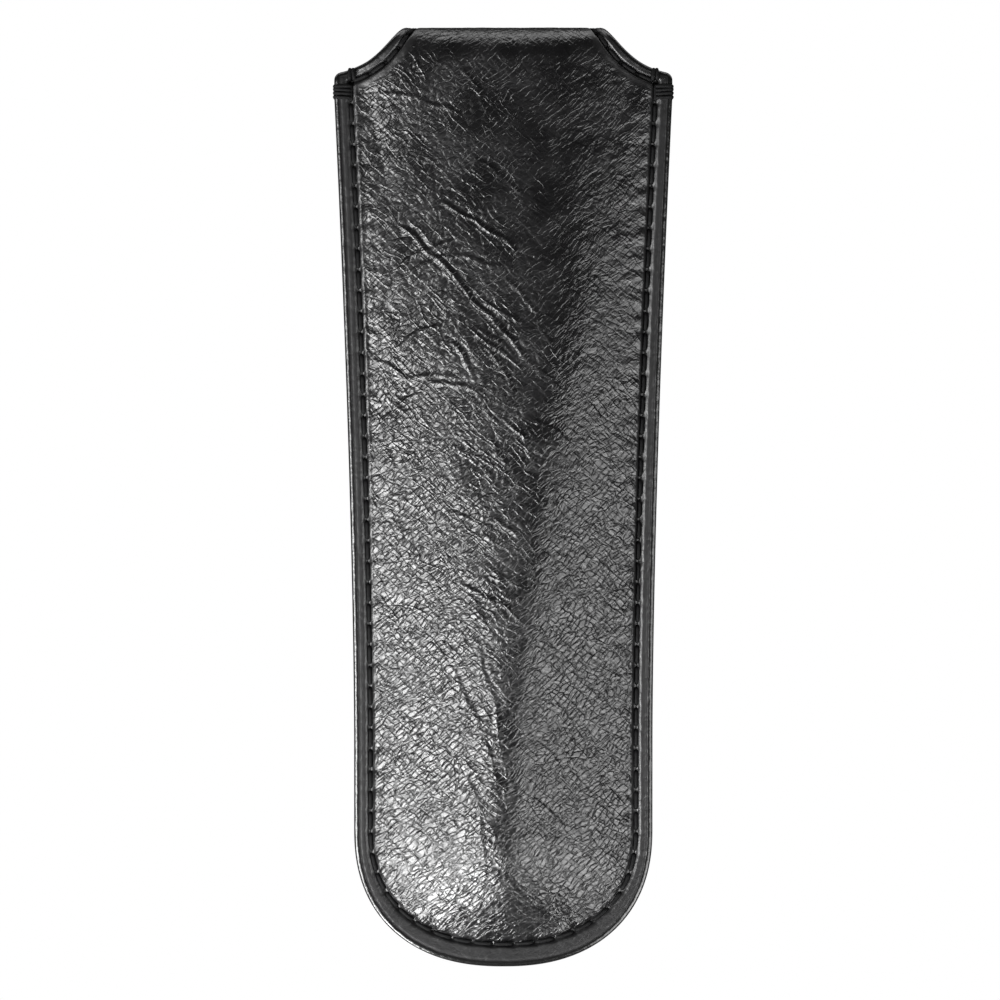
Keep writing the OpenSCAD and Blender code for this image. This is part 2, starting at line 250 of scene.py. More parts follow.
NEAR_END_V = 50  # below this the distance to the edge is measured to the outline itself
low_side_v = np.linspace(75, 25, 60)
low_side = np.column_stack([side_hw(low_side_v), low_side_v])
END_LINE = respaced(np.vstack([low_side, round_end(0, 0, END_STEPS)]), 0.3)
BATCH = 4000  # points measured at a time, to spare memory


def to_sides(x, v):
    """Distance to the right and the left edge of the pouch, as if it had no scoops."""
    right = side_hw(v) - x
    left = side_hw(v) + x
    low = np.flatnonzero(v < NEAR_END_V)
    for start in range(0, len(low), BATCH):
        part = low[start : start + BATCH]
        away_v = v[part, None] - END_LINE[None, :, 1]
        for sign, out in ((1, right), (-1, left)):
            away_x = sign * x[part, None] - END_LINE[None, :, 0]
            out[part] = np.hypot(away_x, away_v).min(axis=1)
    return right, left


def sag(x):
    """How far the shoulders hang below the middle of the fold."""
    return SHOULDER_SAG * (x / SHOULDER_HW) ** 2


def back_z(x, v):
    """Height of the outside of the back: two flanks that meet in a soft crest, round at the end."""
    hw = side_hw(np.maximum(v, END_DEPTH))
    crest = crest_shift(v)
    across = (x - crest) * hw / np.where(x > crest, hw - crest, hw + crest)
    drop = np.clip((END_DEPTH - v) / (END_DEPTH - ROOF_INSET_END), 0, 1)
    reach = (hw - ROOF_INSET) * (1 - drop**END_POWER) ** (1 / END_POWER)
    inside = np.clip(reach - np.abs(across), 0, None)
    level = np.maximum(v, END_DEPTH)
    rise = (crest_z(level) - seam_z(v) - SEAM_STACK) * (1 - drop**2)
    soft = mix(*CREST_SOFT, smooth((v - WIDEN_V) / 105))
    from_crest = np.clip(1 - inside / np.maximum(reach, 0.01), 0, 1)
    fall = (np.sqrt(from_crest**2 + soft**2) - soft) / (np.sqrt(1 + soft**2) - soft)
    puff = PUFF * (1 - np.exp(-inside / 0.7))
    roof = np.where(inside > 0, np.maximum(rise - PUFF, 0) * (1 - fall) + puff, 0)
    edge = seam_z(v) + SEAM_STACK
    start = mix(LEVEL_V, MOUTH_V + 0.4, smooth((np.abs(x) - 18) / 8))
    return mix(edge + roof, FOLD_Z - sag(x), smooth((v - start) / (BEND_V - start)))


def laid(x, v, off=0.0):
    """Place of a point of the back, neck or flap, off millimetres out from the leather's face."""
    x, v, off = (np.asarray(a, float) for a in np.broadcast_arrays(x, v, off))
    turn_back = np.clip((v - BEND_V) / BEND_L, 0, 1) * QUARTER
    turn_front = np.clip((v - NECK_V - HALF_DROP) / BEND_L, 0, 1) * QUARTER
    r = BEND_R + off
    up_to = [v <= BEND_V, v <= BEND_V + BEND_L, v <= NECK_V + HALF_DROP, v <= FLAP_V]
    y = np.select(
        up_to,
        [v, BEND_V + r * np.sin(turn_back), BEND_V + r, BEND_V + r * np.cos(turn_front)],
        BEND_V - (v - FLAP_V),
    )
    z = np.select(
        up_to,
        [
            back_z(x, v) + off,
            BACK_BEND_Z + r * np.cos(turn_back) - sag(x) * np.cos(turn_back) ** 2,
            BACK_BEND_Z - (v - BEND_V - BEND_L),
            FRONT_BEND_Z - r * np.sin(turn_front),
        ],
        -off,
    )
    return np.column_stack([x, y + END_Y, z]) * MM


def front_z(v):
    """Height of the flat of the front, which steps back to make room for the flap."""
    return FRONT_RECESS * smooth((v - FLAP_TIP_V + 9) / 7)


def fronted(x, v, off=0.0):
    """Place of a point of the front, off millimetres out, which is down, from its face."""
    x, v, off = (np.asarray(a, float) for a in np.broadcast_arrays(x, v, off))
    right, left = to_sides(x, v)
    level = np.maximum(v, FAN_V)
    margin = SEAM_INSET + 0.7
    ring = 1 - np.clip((np.minimum(right, left) - margin) / (side_hw(level) - margin), 0, 1)
    rise = np.cos(QUARTER * np.clip(2 * ring - 1, 0, 1))
    z = mix(seam_z(v) - SEAM_STACK, front_z(level), rise)
    return np.column_stack([x, v + END_Y, z - off]) * MM


def normals(place, x, v, step=0.08):
    """Outward normals of a face."""
    across = place(x + step, v) - place(x - step, v)
    along = place(x, v + step) - place(x, v - step)
    n = np.cross(across, along) * (-1 if place is fronted else 1)
    return n / np.linalg.norm(n, axis=1, keepdims=True)


# ---- noise over the flat pattern ----

LOW_BITS = 0xFFFFFFFF


def hashed(i, j, seed):
    """A fixed number that looks random, from 0 to 1 for each place of a lattice."""
    h = (i.astype(np.int64) * 374761393 + j.astype(np.int64) * 668265263 + seed * 2147483647) & LOW_BITS
    h = ((h ^ (h >> 13)) * 1274126177) & LOW_BITS
    h = ((h ^ (h >> 16)) * 2246822519) & LOW_BITS
    return ((h ^ (h >> 15)) & 0xFFFFFF) / 0xFFFFFF


def noise(x, y, seed):
    """Smooth noise from -1 to 1."""
    i, j = np.floor(x), np.floor(y)
    a, b = smooth(x - i), smooth(y - j)
    low = mix(hashed(i, j, seed), hashed(i + 1, j, seed), a)
    high = mix(hashed(i, j + 1, seed), hashed(i + 1, j + 1, seed), a)
    return 2 * mix(low, high, b) - 1


def cells(x, y, seed):
    """Distance from the border in an irregular mosaic of cells, and the cell's own number."""
    i, j = np.floor(x), np.floor(y)
    first = np.full(x.shape, 9.0)
    second = np.full(x.shape, 9.0)
    own = np.zeros(x.shape)
    for di in (-1, 0, 1):
        for dj in (-1, 0, 1):
            px = i + di + 0.15 + 0.7 * hashed(i + di, j + dj, seed)
            py = j + dj + 0.15 + 0.7 * hashed(i + di, j + dj, seed + 1)
            gap = np.hypot(x - px, y - py)
            nearer = gap < first
            second = np.where(nearer, first, np.minimum(second, gap))
            own = np.where(nearer, hashed(i + di, j + dj, seed + 2), own)
            first = np.where(nearer, gap, first)
    return second - first, own


def creased(x, v, angle, length, width, seed, sharp=0.3):
    """Stretched cells with thin valleys between them: 0 in a valley, 1 on a cell."""
    c, s = math.cos(math.radians(angle)), math.sin(math.radians(angle))
    along, across = x * c + v * s, v * c - x * s
    bend = noise(along / 9, across / 6, seed + 5) * 0.9
    border, own = cells(along / length, (across + bend) / width, seed)
    return smooth(border / sharp) * (0.75 + 0.25 * own)


# ---- stitching lines ----


def seam_line():
    """Right half of the seam's stitching, from the shoulder to the middle of the round end."""
    v = np.linspace(SEAM_TOP_V, END_DEPTH, 200)
    side = np.column_stack([side_hw(v) - SEAM_INSET, v])
    return np.vstack([side[:-1], round_end(SEAM_INSET, SEAM_INSET_END, END_STEPS)])


def scoop_line(side):
    """Stitching beside a scoop, from the bar tack to the middle of the neck; side is 1 or -1."""
    r = SCOOP_R + SCOOP_INSET
    a = np.linspace(math.acos((SCOOP_X - TACK_X) / r), 0, 80)
    return np.column_stack([side * (SCOOP_X - r * np.cos(a)), NECK_V - r * np.sin(a)])


def both_sides(right):
    """A whole line from its right half: out to the middle on the right and back on the left."""
    left = right[::-1] * [-1, 1]
    return np.vstack([right, left[1:]])


def hole_runs(run):
    """How far along a line of that run its needle holes are, about a stitch apart."""
    return np.linspace(0, run[-1], max(2, int(round(run[-1] / STITCH)) + 1))


def holes(line):
    """The needle holes along a line."""
    fine = respaced(line, FINE)
    run = run_along(fine)
    return at_run(fine, run, hole_runs(run))


FINE = 0.05  # spacing of the points that a row of stitches is laid along
COARSE = 0.1  # spacing of the points that distances are measured from
TACK_X = 26.6  # the bar tacks, and where the scoops' stitching starts
SEAM_LINE = both_sides(seam_line())
BACK_SCOOPS = [scoop_line(1), scoop_line(-1)]
FLAP_LINE = both_sides(flap_outline(SCOOP_INSET))


def nearest(points, x, v):
    """Distance from the nearest of the points, and its number."""
    tree = KDTree(len(points))
    for k, p in enumerate(points):
        tree.insert((p[0], p[1], 0), k)
    tree.balance()
    found = [tree.find((a, b, 0)) for a, b in zip(x, v)]
    return np.array([f[2] for f in found]), np.array([f[1] for f in found])


def sewn(lines, x, v, near):
    """How rows of stitches shape the leather: a groove, raised beside it, pulled down at each hole.

    Only the places where near is true are worked out.
    """
    h = np.zeros(x.shape)
    pull = np.zeros(x.shape)
    pick = np.flatnonzero(near)
    for line in lines:
        gap, _ = nearest(respaced(line, COARSE), x[pick], v[pick])
        to_hole, _ = nearest(holes(line), x[pick], v[pick])
        groove = -0.5 * np.exp(-((gap / 0.52) ** 4))
        lip = 0.015 * np.exp(-(((gap - 1.0) / 0.4) ** 2))
        dimple = -0.22 * np.exp(-((to_hole / 0.6) ** 2))
        h[pick] += groove + lip + dimple
        pull[pick] = np.maximum(pull[pick], np.exp(-((to_hole / 1.3) ** 2)))
    return h, pull


# ---- creases of the back: their ends, x and v, and how strong each one is ----

LONG_CREASES = [
    (-7.1, 157.3, -3.3, 150.7, 0.7),
    (-10.2, 133.7, 3.0, 124.3, 1.0),
    (-14.4, 126.4, -5.3, 116.7, 1.0),
    (-3.3, 116.7, 3.0, 112.8, 0.7),
    (0.5, 120.9, 6.5, 112.5, 0.7),
    (-12.3, 124.7, -0.9, 122.6, 0.6),
    (-22.3, 153.6, -7.4, 149.0, 0.6),
    (-6.0, 142.4, 3.3, 135.4, 0.6),
    (-4.0, 112.0, 3.0, 106.0, 0.6),
    (0.5, 95.7, 5.6, 89.1, 1.0),
    (5.0, 96.4, 11.3, 92.2, 0.6),
    (-1.2, 78.7, 3.0, 75.2, 1.0),
    (-8.1, 108.9, -5.3, 103.6, 0.6),
    (-13.0, 102.6, -4.7, 100.9, 1.0),
    (-8.1, 67.6, 4.4, 60.0, 0.7),
    (-9.5, 80.0, -4.0, 77.3, 0.7),
    (-2.6, 92.5, 0.9, 87.7, 0.6),
    (-4.8, 56.4, 0.8, 27.6, 0.7),
    (-8.9, 52.0, -0.7, 31.4, 0.6),
    (-5.9, 33.6, -3.3, 17.9, 0.6),
    (5.0, 29.9, 11.0, 23.9, 0.7),
    (-18.0, 130.0, -13.5, 125.5, 0.8),
    (-5.3, 116.7, 4.7, 105.5, 1.0),
    (4.7, 105.5, 11.0, 100.0, 0.7),
    (6.5, 112.5, 9.6, 105.5, 0.7),
    (-23.0, 106.4, -17.5, 103.3, 0.9),
    (-18.1, 103.2, -8.1, 103.2, 0.9),
    (-19.4, 121.3, -9.9, 127.8, 0.9),
    (-19.5, 118.5, -11.0, 125.0, 0.7),
    (-18.1, 109.0, -11.1, 112.5, 0.8),
    (-8.8, 109.7, -5.3, 104.4, 0.8),
    (-22.9, 93.9, -9.3, 103.7, 0.7),
    (-5.3, 111.4, 4.2, 103.7, 0.7),
    (-2.3, 107.9, 1.7, 100.9, 0.7),
]
CREASE_HEIGHT = 0.15
CREASE_HW = 0.3
VALLEY_HW = 0.45
VALLEY_AT = 0.8  # beside the ridge
BOW = 0.05  # of its length
FADE = 0.12  # a crease runs out over this part of its length past each end


def long_creases(x, v):
    """Long fine folds across the crest, each a little bowed: a ridge with a valley on one side."""
    h = np.zeros(x.shape)
    wx = x + 0.5 * noise(x / 3.1, v / 3.1, 71)
    wv = v + 0.5 * noise(x / 3.1, v / 3.1, 72)
    for x0, v0, x1, v1, height in LONG_CREASES:
        ax, av = x1 - x0, v1 - v0
        size = math.hypot(ax, av)
        t = ((wx - x0) * ax + (wv - v0) * av) / size**2
        side = ((wx - x0) * av - (wv - v0) * ax) / size
        side = side + BOW * size * (4 * t * (1 - t))
        ends = smooth((t + FADE) / 0.25) * smooth((1 + FADE - t) / 0.25)
        ridge = np.exp(-((side / CREASE_HW) ** 2))
        valley = 0.5 * np.exp(-(((side + VALLEY_AT) / VALLEY_HW) ** 2))
        h += CREASE_HEIGHT * height * ends * (ridge - valley)
    return h


def grain_relief(x, v):
    """The leather's own creasing: stretched cells that follow the pull of the skin.

    Each kind has its angle, the length and width of its cells, and its own seed.
    """
    wx = x + 0.8 * noise(x / 5.3, v / 5.3, 11)
    wv = v + 0.8 * noise(x / 5.3, v / 5.3, 12)
    leftness = smooth((6 - x) / 14)
    low = smooth((60 - v) / 40)
    main_left = creased(wx, wv, 35, 5.0, 1.5, 21)
    main_right = creased(wx, wv, 46, 3.4, 1.3, 31)
    hatch = creased(wx, wv, -42, 3.0, 1.1, 41)
    pebbles = creased(wx, wv, 15, 1.5, 1.2, 51)
    swing = noise(x / 7.0, v / 7.0, 61)
    broad = creased(wx, wv, 40, 9.0, 3.2, 91, 0.5)
    h = mix(0.045 * main_right, 0.045 * main_left, leftness)
    h = h + 0.03 * hatch * smooth(0.5 + swing)
    h = h + mix(0.02, 0.03, low) * pebbles
    h = h + 0.05 * broad
    h = h + 0.04 * noise(x / 4.0, v / 4.0, 62) + 0.08 * noise(x / 11.0, v / 11.0, 63)
    return h


def sewn_margin(rim):
    """1 on the calm band between the edge and the stitching, 0 on the panel."""
    return smooth((4.4 - rim) / 1.2)


def edge_line(rim):
    """The fine line pressed in beside the painted edge."""
    return -0.07 * np.exp(-(((rim - 1.05) / 0.16) ** 2))


def zoned(rim, pull):
    """The zones the finish depends on: the painted edge, the sewn margin and the pull of the thread."""
    return np.column_stack([smooth((EDGE_W + 0.1 - rim) / 0.15), sewn_margin(rim), pull])


STITCH_REACH = 8  # nothing is shaped by the stitching further from the edge
MARGIN_GRAIN = 0.45  # the grain's height on the sewn margin, of that on the panel
NECK_GRAIN = 0.55  # and on the neck and the flap
OTHER_HIDE = 600  # the front is cut from another place of the hide, this far off
GATHERS_TOP_V = 150


def gathered(x, v, depth):
    """Small puckers beside each stitch of the seam; depth is how far in from the seam a place is."""
    _, nth = nearest(respaced(SEAM_LINE, COARSE), x, v)
    stitch_no = nth * COARSE / STITCH
    strength = mix(0.07, 0.16, smooth((40 - v) / 30))
    wave = np.cos(2 * math.pi * stitch_no + 0.8 * noise(x / 3, v / 3, 81))
    return -strength * wave * np.exp(-np.abs(depth - 1.2) / 1.9) * smooth((depth - 0.2) / 0.7)


def back_relief(x, v):
    """Everything that stands up or sinks on the face of the back, and the finish's zones."""
    right, left = to_sides(x, v)
    edge = np.minimum(right, left)
    scoop = np.hypot(np.abs(x) - SCOOP_X, v - NECK_V) - SCOOP_R
    rim = np.minimum(edge, scoop)
    near = rim < STITCH_REACH
    stitching, pull = sewn([SEAM_LINE, *BACK_SCOOPS], x, v, near)
    gathers = np.zeros(x.shape)
    pick = np.flatnonzero(near & (v < GATHERS_TOP_V))
    gathers[pick] = gathered(x[pick], v[pick], edge[pick] - SEAM_INSET)
    grain = grain_relief(x, v) * mix(1, MARGIN_GRAIN, sewn_margin(rim))
    flat_on_neck = 1 - (1 - NECK_GRAIN) * smooth((v - BEND_V) / 6)
    h = stitching + gathers + (grain + long_creases(x, v)) * flat_on_neck + edge_line(rim)
    return h, zoned(rim, pull)


def flap_relief(x, v):
    """The same for the flap, which carries on from the neck."""
    rim, _ = nearest(respaced(both_sides(flap_outline()), COARSE), x, v)
    stitching, pull = sewn([FLAP_LINE], x, v, rim < STITCH_REACH)
    grain = NECK_GRAIN * grain_relief(x, v) * mix(1, MARGIN_GRAIN, sewn_margin(rim))
    return stitching + grain + edge_line(rim), zoned(rim, pull)


def front_relief(x, v):
    """The same for the front, which has a hem at the mouth."""
    right, left = to_sides(x, v)
    edge = np.minimum(right, left)
    stitching, pull = sewn([SEAM_LINE, MOUTH_LINE], x, v, (edge < 6) | (v > 140))
    return stitching + 0.7 * grain_relief(x, v + OTHER_HIDE), zoned(edge, pull)


def mouth_v(x):
    """The front's mouth edge dips in the middle."""
    return MOUTH_V - MOUTH_DIP * (1 - (x / side_hw(MOUTH_V)) ** 2)


HEM_HW = 24.5
HEM = 2.2
mouth_x = np.linspace(HEM_HW, -HEM_HW, 120)
MOUTH_LINE = np.column_stack([mouth_x, mouth_v(mouth_x) - HEM])


# ---- meshes ----


def new_object(name, points, faces, material, flat, zone=None):
    """A closed mesh, with its place in the flat and its zones as attributes, and its faces outward."""
    mesh = bpy.data.meshes.new(name)
    mesh.from_pydata([tuple(p) for p in points], [], faces)
    mesh.validate()
    for key, values in (("flat", flat), ("zone", zone)):
        if values is not None:
            attribute = mesh.attributes.new(key, "FLOAT_VECTOR", "POINT")
            attribute.data.foreach_set("vector", np.asarray(values, np.float32).ravel())
    mesh.polygons.foreach_set("use_smooth", [True] * len(mesh.polygons))
    mesh.materials.append(material)
    obj = bpy.data.objects.new(name, mesh)
    bpy.context.collection.objects.link(obj)
    work = bmesh.new()
    work.from_mesh(mesh)
    bmesh.ops.recalc_face_normals(work, faces=work.faces)
    work.to_mesh(mesh)
    work.free()
    return obj


# Distances from the outline of the rows that make the rounded edge
RINGS = [1.45, 1.25, 1.05, 0.9, 0.75, 0.6, 0.45, 0.32, 0.2, 0.1, 0.03, 0.0]
BOW_FROM_V = 100  # the rows take on the mouth's curve from here up


def directions_out(outline, spine):
    """Unit directions in the flat, away from the spine, square to the outline."""
    along = np.gradient(outline, axis=0)
    out = np.column_stack([-along[:, 1], along[:, 0]])
    out /= np.linalg.norm(out, axis=1, keepdims=True)
    out *= np.sign((out * (outline - spine)).sum(axis=1))[:, None]
    out[0] = [1, 0]
    out[-1] = [0, out[-1][1]]
    return out / np.linalg.norm(out, axis=1, keepdims=True)


def cross_section(outline, spine, thick, edge_r, columns, under, bow):
    """Half of every row: out over the face, down the rounded edge, back along the underside.

    Each entry holds a place in the flat for every row, and how far it is off the face.
    """
    out = directions_out(outline, spine)
    inner = outline - out * RINGS[0]

    def across(f):
        line = mix(spine, inner, f)
        if bow:
            power = 1 + smooth((spine[:, 1] - BOW_FROM_V) / (MOUTH_V - MOUTH_DIP - BOW_FROM_V))
            line[:, 1] = mix(spine[:, 1], inner[:, 1], f**power)
        return line

    def fall(d):
        return edge_r * (1 - math.sqrt(1 - max(0.0, 1 - d / EDGE_W) ** 2))

    section = [(across(k / columns), 0.0) for k in range(columns)]
    section += [(outline - out * d, -fall(d)) for d in RINGS]
    section += [(outline, -(edge_r + thick) / 2), (outline, -(thick - edge_r))]
    section += [(outline - out * d, -thick + fall(d)) for d in RINGS[::-1][1:]]
    section += [(across(k / under), -thick) for k in range(under - 1, -1, -1)]
    return section


def skin_faces(rows, loop, half):
    """Faces between the rows. The last row is folded flat: its left half is its right half."""
    index = np.arange(rows * loop).reshape(rows, loop)
    index[-1][half:] = index[-1][1 : half - 1][::-1]
    nxt = np.roll(index, -1, axis=1)
    quads = np.stack([index[:-1], nxt[:-1], nxt[1:], index[1:]], axis=-1).reshape(-1, 4)
    return [(a, b, c) if c == d else (a, b, c, d) for a, b, c, d in quads.tolist()]


def cap_faces(loop, half, matched):
    """Faces that close the first row, in strips where its face and underside have matched columns."""
    if not matched:
        return [tuple(range(loop))[::-1]]
    mirrored = [loop - k if k else 0 for k in range(half)]
    faces = []
    for near in range(half // 2):
        far = half - 1 - near
        strip = (near, far, far - 1) if near + 1 == far - 1 else (near, far, far - 1, near + 1)
        faces.append(strip)
        faces.append(tuple(mirrored[i] for i in strip[::-1]))
    return faces


def sheet_of(
    name, outline, middle, place, thick, spacing, material, relief=None, depth=0.0, under=None, bow=False
):
    """A closed sheet of leather, board or lining, cut to the outline and laid depth millimetres deep.

    Rows run from the middle line, between the two lengths in middle, out to the outline. depth is
    a number or a function of the place. under is the number of columns on half of the underside,
    if it isn't the same as on the face.
    """
    rows = len(outline)
    run = run_along(outline)
    spine = np.column_stack([np.zeros(rows), mix(*middle, run / run[-1])])
    columns = int(round(END_HW / spacing))
    under = under or columns
    edge_r = min(EDGE_R, thick * 0.45)
    section = cross_section(outline, spine, thick, edge_r, columns, under, bow)

    right = np.stack([column for column, _ in section], axis=1)
    left = right[:, 1:-1][:, ::-1] * [-1, 1]
    flat = np.concatenate([right, left], axis=1)
    lifts = np.array([lift for _, lift in section])
    lifts = np.concatenate([lifts, lifts[1:-1][::-1]])
    loop = len(lifts)
    x, v = flat[..., 0].ravel(), flat[..., 1].ravel()
    off = np.tile(lifts, rows)
    zone = np.zeros((len(x), 3))
    zone[off < -TINY, 0] = 1
    if relief is not None:
        face = off > -edge_r - TINY
        h, zone[face] = relief(x[face], v[face])
        fade = 1 - smooth(-off[face] / edge_r * 1.5)
        off[face] += h * fade
    deep = depth(x, v) if callable(depth) else depth
    points = place(x, v, 0.0) + normals(place, x, v) * ((off - deep) * MM)[:, None]

    skin = skin_faces(rows, loop, len(section))
    faces = skin + cap_faces(loop, len(section), columns == under)
    used = np.unique(np.concatenate([np.array(f) for f in faces]))
    number = np.full(rows * loop, -1)
    number[used] = np.arange(len(used))
    faces = [tuple(int(number[k]) for k in f) for f in faces]
    flat3 = np.column_stack([x, v, off])
    obj = new_object(name, points[used], faces, material, flat3[used], zone[used])
    for cap in obj.data.polygons[len(skin):]:
        cap.use_smooth = False
        for corner in cap.loop_indices:
            obj.data.edges[obj.data.loops[corner].edge_index].use_edge_sharp = True
    return obj


THREAD_R = 0.34
THREAD_SIDES = 10
STITCH_STEPS = 12
STITCH_GAP = 0.04
STITCH_SUNK = 0.26  # how deep a stitch lies in its groove
STITCH_DIVE = 0.9  # and how much further its ends go
TWIST = 2.2  # turn of the strands, in radians for each millimetre


def tube_faces(first, rings, sides):
    """Faces of a closed tube whose points start at first and go ring after ring."""
    faces = []
    for n in range(rings - 1):
        for m in range(sides):
            a = first + n * sides + m
            b = first + n * sides + (m + 1) % sides
            faces.append((a, b, b + sides, a + sides))
    last = first + (rings - 1) * sides
    faces.append(tuple(range(first, first + sides))[::-1])
    faces.append(tuple(range(last, last + sides)))
    return faces


def stitches(name, lines, place, rows=((0.0, 1),), rise=0.0):
    """Rows of single stitches, each a short tube that dives into its holes.

    rows holds, for each face that shows the thread, its depth and 1 for the outside or -1.
    """
    points, faces, flat = [], [], []
    t = np.linspace(-1, 1, STITCH_STEPS)
    radius = THREAD_R * (1 - 0.25 * np.abs(t) ** 6)
    for line, (deep, face_sign) in [(a, b) for a in lines for b in rows]:
        fine = respaced(line, FINE)
        run = run_along(fine)
        cuts = hole_runs(run)
        for k in range(len(cuts) - 1):
            s = np.linspace(cuts[k] + STITCH_GAP / 2, cuts[k + 1] - STITCH_GAP / 2, STITCH_STEPS)
            x, v = at_run(fine, run, s).T
            unevenness = 0.03 * math.sin(k * 2.4)
            height = -STITCH_SUNK + rise - STITCH_DIVE * np.abs(t) ** 6 + unevenness
            out = normals(place, x, v)
            here = place(x, v, 0.0) - out * deep * MM
            up = out * face_sign
            along = np.gradient(here, axis=0)
            along /= np.linalg.norm(along, axis=1, keepdims=True)
            sideways = np.cross(along, up)
            faces += tube_faces(len(points), STITCH_STEPS, THREAD_SIDES)
            for n in range(STITCH_STEPS):
                for m in range(THREAD_SIDES):
                    a = 2 * math.pi * m / THREAD_SIDES
                    strand = 1 + 0.07 * math.cos(3 * (a - TWIST * s[n]))
                    spread = (sideways[n] * math.cos(a) + up[n] * math.sin(a) * 0.85) * radius[n] * strand
                    points.append(here[n] + (up[n] * height[n] + spread) * MM)
                    flat.append((s[n], a, k))
    return new_object(name, points, faces, THREAD, flat)


def tubes(name, paths, radius, material, sides=THREAD_SIDES):
    """Closed threads, one through the points of each path, in millimetres."""
    points, faces, flat = [], [], []
    for path in paths:
        faces += tube_faces(len(points), len(path), sides)
        along = np.gradient(path, axis=0)
        along /= np.linalg.norm(along, axis=1, keepdims=True)
        side = np.zeros(3)
        for n, p in enumerate(path):
            level = np.cross(along[n], [0, 0, 1])
            if np.linalg.norm(level) > 0.1:
                side = level / np.linalg.norm(level)
            up = np.cross(side, along[n])
            for m in range(sides):
                a = 2 * math.pi * m / sides
                points.append((p + (side * math.cos(a) + up * math.sin(a)) * radius) * MM)
                flat.append((n * 0.3, a, 0))
    return new_object(name, points, faces, material, flat)


# ---- materials ----

WHITE, BLACK = (1.0, 1.0, 1.0), (0.0, 0.0, 0.0)


def grey(value):
    return (value, value, value)


def material(name, specular=0.5):
    m = bpy.data.materials.new(name)
    m.use_nodes = True
    shader = m.node_tree.nodes["Principled BSDF"]
    shader.inputs["Specular IOR Level"].default_value = specular
    return m, m.node_tree, shader


def put(tree, kind, **sockets):
    node = tree.nodes.new(kind)
    for key, value in sockets.items():
        node.inputs[key.replace("_", " ")].default_value = value
    return node


def attribute(tree, name):
    node = tree.nodes.new("ShaderNodeAttribute")
    node.attribute_name = name
    return node.outputs["Vector"]


def in_object(tree):
    return tree.nodes.new("ShaderNodeTexCoord").outputs["Object"]


def axes(tree, vector):
    node = tree.nodes.new("ShaderNodeSeparateXYZ")
    tree.links.new(vector, node.inputs["Vector"])
    return node.outputs["X"], node.outputs["Y"]


def noisy(tree, vector, scale, detail):
    node = put(tree, "ShaderNodeTexNoise", Scale=scale, Detail=detail)
    tree.links.new(vector, node.inputs["Vector"])
    return node.outputs["Fac"], node.outputs["Color"]


def ramp(tree, source, stops):
    node = tree.nodes.new("ShaderNodeValToRGB")
    while len(node.color_ramp.elements) < len(stops):
        node.color_ramp.elements.new(0.5)
    for element, (at, value) in zip(node.color_ramp.elements, stops):
        element.position = at
        element.color = (*value, 1) if isinstance(value, tuple) else (*grey(value), 1)
    tree.links.new(source, node.inputs["Fac"])
    return node.outputs["Color"]


def bump_chain(tree, shader, heights):
    """Bumps one after another: (height socket, depth in metres)."""
    last = None
    for height, depth in heights:
        bump = put(tree, "ShaderNodeBump", Strength=1.0, Distance=depth)
        tree.links.new(height, bump.inputs["Height"])
        if last:
            tree.links.new(last, bump.inputs["Normal"])
        last = bump.outputs["Normal"]
    tree.links.new(last, shader.inputs["Normal"])


def stretched(tree, source, angle, length, width, shift):
    """Coordinates for a texture with features of that length and width, turned by angle degrees."""
    node = tree.nodes.new("ShaderNodeMapping")
    node.vector_type = "TEXTURE"
    node.inputs["Location"].default_value = (shift, shift, 0)
    node.inputs["Rotation"].default_value = (0, 0, math.radians(angle))
    node.inputs["Scale"].default_value = (length, width, 1)
    tree.links.new(source, node.inputs["Vector"])
    return node.outputs["Vector"]


def crease_field(tree, source, *shape):
    """Stretched cells of skin: 0 along the creases between them, 1 on the cells."""
    skin = put(tree, "ShaderNodeTexVoronoi", Scale=1.0, Randomness=0.9)
    skin.voronoi_dimensions = "2D"
    skin.feature = "DISTANCE_TO_EDGE"
    tree.links.new(stretched(tree, source, *shape), skin.inputs["Vector"])
    return ramp(tree, skin.outputs["Distance"], [(0.0, 0.0), (0.05, 0.3), (0.15, 0.85), (0.32, 1.0)])


def wrinkle_field(tree, source, *shape):
    """Fine raised lines that run one way and drift together and apart: 1 on a line."""
    waves = put(tree, "ShaderNodeTexNoise", Scale=1.0, Detail=1.5)
    waves.noise_dimensions = "2D"
    tree.links.new(stretched(tree, source, *shape), waves.inputs["Vector"])
    return ramp(tree, waves.outputs["Fac"], [(0.43, 0.0), (0.49, 1.0), (0.51, 1.0), (0.57, 0.0)])


def mixed(tree, kind, factor, a, b):
    """a and b mixed; the factor is a number or a socket."""
    node = tree.nodes.new("ShaderNodeMixRGB")
    node.blend_type = kind
    if isinstance(factor, float):
        node.inputs["Fac"].default_value = factor
    else:
        tree.links.new(factor, node.inputs["Fac"])
    for key, value in (("Color1", a), ("Color2", b)):
        if isinstance(value, tuple):
            node.inputs[key].default_value = (*value, 1)
        else:
            tree.links.new(value, node.inputs[key])
    return node.outputs["Color"]


def ranged(tree, source, low, high, to_low, to_high):
    node = tree.nodes.new("ShaderNodeMapRange")
    node.interpolation_type = "SMOOTHSTEP"
    for key, value in (("From Min", low), ("From Max", high), ("To Min", to_low), ("To Max", to_high)):
        node.inputs[key].default_value = value
    tree.links.new(source, node.inputs["Value"])
    return node.outputs["Result"]


def toned(tree, shader, source, colours, roughnesses):
    """Colour and roughness that follow a texture, from its low places to its high ones."""
    for key, (low, high) in (("Base Color", colours), ("Roughness", roughnesses)):
        tree.links.new(ramp(tree, source, [(0.3, low), (0.7, high)]), shader.inputs[key])


CALM_ROUGH = 0.42  # the sewn margin, and down in the creases
EDGE_ROUGH = 0.24
EDGE_COLOUR = (0.003, 0.003, 0.003)


